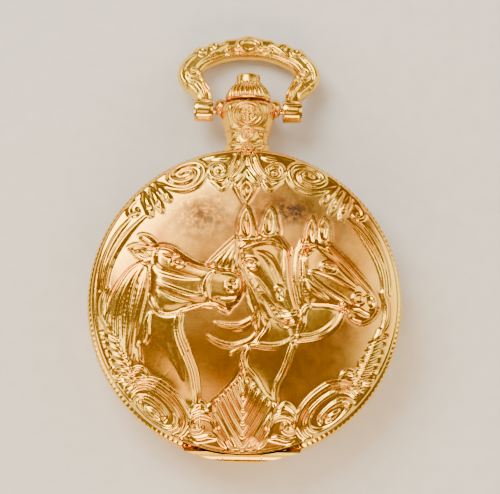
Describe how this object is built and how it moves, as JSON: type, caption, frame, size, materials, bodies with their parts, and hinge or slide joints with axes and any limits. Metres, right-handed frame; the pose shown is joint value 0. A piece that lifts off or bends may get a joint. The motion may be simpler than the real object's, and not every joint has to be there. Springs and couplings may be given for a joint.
{
  "type": "fob watch",
  "caption": "Round hunter-cased fob watch with a hinged embossed lid, a swinging stirrup bow, a fluted crown with a push button, and a quartz movement inside.",
  "frame": {"origin": "middle of the flat on the case back", "axes": "+Z through the dial to the lid, +Y to the pendant at 12 o'clock, +X to 3 o'clock"},
  "size_m": [0.046, 0.0644, 0.0128],
  "materials": {
    "gold_polished": "polished gold plate, worn and lightly tarnished",
    "gold_relief": "gold plate over a die-struck relief, dark tarnish in the field",
    "steel": "bright steel",
    "gear_brass": "machined brass",
    "dial_white": "matt cream lacquer",
    "hand_black": "black lacquer",
    "crystal_glass": "clear mineral glass",
    "gasket_rubber": "black rubber",
    "plastic_white": "moulded plastic",
    "board_green": "printed board",
    "coil_copper": "enamelled copper wire",
    "battery_steel": "bright nickel",
    "chip_black": "moulded resin"
  },
  "bodies": {
    "case": {"back_cover": "gold_polished", "back_gasket": "gasket_rubber", "case_middle": "gold_polished", "case_knuckle_left": "gold_polished", "case_knuckle_right": "gold_polished", "hinge_pin": "steel", "crystal_bezel": "gold_polished", "crystal_gasket": "plastic_white", "crystal": "crystal_glass", "dial": "dial_white", "pendant": "gold_polished", "pendant_tube": "steel", "bow_pin_left": "steel", "bow_pin_right": "steel", "lift_spring": "steel", "movement_holder": "plastic_white", "main_plate": "gear_brass", "train_bridge": "gear_brass", "bridge_screw_1": "steel", "bridge_screw_2": "steel", "battery": "battery_steel", "battery_clamp": "steel", "drive_coil": "coil_copper", "coil_core": "steel", "stator": "steel", "circuit_board": "board_green", "controller_chip": "chip_black", "quartz_oscillator": "battery_steel"},
    "lid": {"lid_cover": "gold_relief", "lid_rim": "gold_polished"},
    "bow": {"bow": "gold_polished"},
    "catch": {"lid_catch": "steel"},
    "setting": {"setting_lever": "steel"},
    "crown": {"crown": "gold_polished", "stem": "steel", "clutch_pinion": "steel", "button_spring": "steel"},
    "button": {"push_button": "gold_polished", "pusher_collar": "steel"},
    "rotor": {"rotor": "steel"},
    "fifth": {"fifth_wheel": "gear_brass"},
    "seconds": {"seconds_wheel": "gear_brass", "second_hand": "hand_black"},
    "third": {"third_wheel": "gear_brass"},
    "minutes": {"center_wheel": "gear_brass", "minute_hand": "hand_black"},
    "minute_transfer": {"minute_wheel": "gear_brass"},
    "hours": {"hour_wheel": "gear_brass", "hour_hand": "hand_black"},
    "setting_transfer": {"setting_wheel": "steel"}
  },
  "joints": [
    {"name": "lid_hinge", "type": "hinge", "parent": "case", "child": "lid", "pos_m": [0, -0.0222, 0.008], "axis": [1, 0, 0], "range_deg": [0, 100]},
    {"name": "bow_swing", "type": "hinge", "parent": "case", "child": "bow", "pos_m": [0, 0.0291, 0.0052], "axis": [1, 0, 0], "range_deg": [-89, 128]},
    {"name": "catch_slide", "type": "slide", "parent": "case", "child": "catch", "axis": [0, -1, 0], "range_m": [0, 0.0004]},
    {"name": "stem_pull", "type": "slide", "parent": "case", "child": "setting", "axis": [0, 1, 0], "range_m": [0, 0.0009]},
    {"name": "crown_turn", "type": "hinge", "parent": "setting", "child": "crown", "pos_m": [0, 0.03, 0.0052], "axis": [0, 1, 0], "continuous": true},
    {"name": "button_press", "type": "slide", "parent": "crown", "child": "button", "axis": [0, -1, 0], "range_m": [0, 0.001], "stiffness_N_per_m": 2000, "springref_m": -0.0005, "deforming": ["button_spring"]},
    {"name": "seconds_turn", "type": "hinge", "parent": "case", "child": "seconds", "pos_m": [0, 0, 0.008], "axis": [0, 0, -1], "continuous": true},
    {"name": "fifth_turn", "type": "hinge", "parent": "case", "child": "fifth", "pos_m": [-0.00169, 0.00201, 0.0038], "axis": [0, 0, -1], "continuous": true},
    {"name": "rotor_turn", "type": "hinge", "parent": "case", "child": "rotor", "pos_m": [-0.00273, 0.00325, 0.0038], "axis": [0, 0, -1], "continuous": true},
    {"name": "third_turn", "type": "hinge", "parent": "case", "child": "third", "pos_m": [0.00087, -0.0024, 0.0038], "axis": [0, 0, -1], "continuous": true},
    {"name": "minutes_turn", "type": "hinge", "parent": "case", "child": "minutes", "pos_m": [0, 0, 0.0076], "axis": [0, 0, -1], "continuous": true},
    {"name": "minute_transfer_turn", "type": "hinge", "parent": "case", "child": "minute_transfer", "pos_m": [0.00082, 0.00226, 0.006], "axis": [0, 0, -1], "continuous": true},
    {"name": "hours_turn", "type": "hinge", "parent": "case", "child": "hours", "pos_m": [0, 0, 0.0073], "axis": [0, 0, -1], "continuous": true},
    {"name": "setting_transfer_turn", "type": "hinge", "parent": "case", "child": "setting_transfer", "pos_m": [-0.00021, 0.00507, 0.006], "axis": [0, 0, -1], "continuous": true}
  ],
  "couplings": [
    {"joint": "catch_slide", "follows": "button_press", "ratio": 0.4},
    {"joint": "fifth_turn", "follows": "seconds_turn", "ratio": -6},
    {"joint": "rotor_turn", "follows": "seconds_turn", "ratio": 30},
    {"joint": "third_turn", "follows": "seconds_turn", "ratio": -0.13333},
    {"joint": "minutes_turn", "follows": "seconds_turn", "ratio": 0.016667},
    {"joint": "minute_transfer_turn", "follows": "seconds_turn", "ratio": -0.0055556},
    {"joint": "hours_turn", "follows": "seconds_turn", "ratio": 0.0013889},
    {"joint": "setting_transfer_turn", "follows": "seconds_turn", "ratio": 0.0083333}
  ]
}
